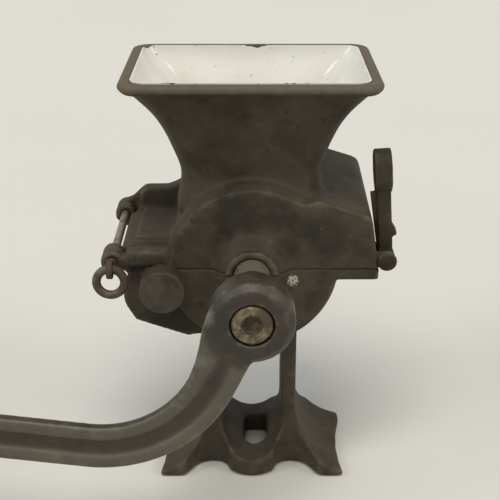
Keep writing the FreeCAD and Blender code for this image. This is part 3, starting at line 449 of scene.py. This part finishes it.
# Voxel size, unevenness and smoothing passes of each cast or forged node
CAST = {
    "upper_casing": (1.15, 0.14, [(6, off_split)]),
    "lower_casing": (1.15, 0.14, [(6, off_split), (14, on_base)]),
    "crank_arm": (0.9, 0.12, [(3, everywhere), (5, off_hub), (30, recess_end)]),
    "latch_lever": (0.6, 0.06, [(4, everywhere)]),
    "knife_bolt": (0.7, 0.05, [(3, everywhere)]),
    "feed_drum": (1.4, 0.10, [(2, everywhere)]),
    "pull_ring": (0.5, 0.05, [(2, everywhere)]),
    "hinge_pin": (0.5, 0.04, [(2, everywhere)]),
    "latch_pin": (0.5, 0.05, [(3, everywhere)]),
    "crank_screw": (0.45, 0.05, [(3, everywhere)]),
}
for node, (voxel, uneven, passes) in CAST.items():
    piece = cast_copy(node, voxel, uneven, passes)
    dress(piece, SUBPART_SLOT[node])
    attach(piece, BODY_OF[node])
    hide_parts(node)

for node, obj in frame["nodes"].items():
    if node not in CAST:
        dress(obj, SUBPART_SLOT[node])


# Floor, light and camera

def floor():
    """Pale paper a hair below the feet."""
    mesh = bpy.data.meshes.new("floor")
    half = 6000 * MM
    corners = [(-half, -half, 0), (half, -half, 0), (half, half, 0), (-half, half, 0)]
    mesh.from_pydata(corners, [], [(0, 1, 2, 3)])
    obj = bpy.data.objects.new("floor", mesh)
    obj.location.z = -0.4 * MM
    scene.collection.objects.link(obj)
    s = Shader("floor_paper")
    cloud = s.noise(3.0, 3, 0.5, seed=20.0)
    paper = s.mix(s.ramp(cloud, 0.3, 0.7), srgb(225, 222, 214), srgb(227, 224, 217))
    s.set(Base_Color=paper, Roughness=0.9)
    mesh.materials.append(s.material)


def sun(name, towards, spread, strength, colour):
    """Broad even light from far off, with its spread in degrees."""
    data = bpy.data.lights.new(name, "SUN")
    data.angle = math.radians(spread)
    data.energy = strength
    data.color = colour
    obj = bpy.data.objects.new(name, data)
    obj.rotation_euler = Vector(towards).to_track_quat("-Z", "Y").to_euler()
    scene.collection.objects.link(obj)


def studio(light, strength, backdrop):
    """Even light from all round; the camera and shiny or clear surfaces see a pale backdrop there."""
    world = bpy.data.worlds.new("studio")
    scene.world = world
    world.use_nodes = True
    tree = world.node_tree
    glow = tree.nodes["Background"]
    glow.inputs["Color"].default_value = light
    glow.inputs["Strength"].default_value = strength
    behind = tree.nodes.new("ShaderNodeBackground")
    behind.inputs["Color"].default_value = backdrop
    path = tree.nodes.new("ShaderNodeLightPath")
    choose = tree.nodes.new("ShaderNodeMixShader")
    seen = path.outputs["Is Camera Ray"]
    for ray in ("Is Glossy Ray", "Is Transmission Ray"):
        either = tree.nodes.new("ShaderNodeMath")
        either.operation = "MAXIMUM"
        tree.links.new(seen, either.inputs[0])
        tree.links.new(path.outputs[ray], either.inputs[1])
        seen = either.outputs[0]
    tree.links.new(seen, choose.inputs["Fac"])
    tree.links.new(glow.outputs[0], choose.inputs[1])
    tree.links.new(behind.outputs[0], choose.inputs[2])
    tree.links.new(choose.outputs[0], tree.nodes["World Output"].inputs["Surface"])


floor()
studio((0.92, 0.97, 1.03, 1.0), 0.36, srgb(222, 218, 209))
sun("ceiling", (0.04, 0.46, -1.0), 32, 1.48, (1.0, 0.96, 0.88))
sun("left_window", (0.80, 0.45, -0.60), 22, 0.66, (0.94, 0.97, 1.01))
sun("right_window", (-0.80, 0.40, -0.55), 22, 0.55, (1.0, 0.95, 0.85))

SENSOR_WIDTH = 36.0
FOCAL_LENGTH = 80.85
CAMERA_PLACE = (-1.1, -620.9, 393.4)
LOOKING_DOWN = 22.5


def photo_camera():
    """Camera at the photograph's place, looking along +Y and down."""
    data = bpy.data.cameras.new("camera")
    data.sensor_width = SENSOR_WIDTH
    data.lens = FOCAL_LENGTH
    camera = bpy.data.objects.new("camera", data)
    camera.location = [length * MM for length in CAMERA_PLACE]
    camera.rotation_euler = (math.radians(90 - LOOKING_DOWN), 0, 0)
    scene.collection.objects.link(camera)
    scene.camera = camera


photo_camera()
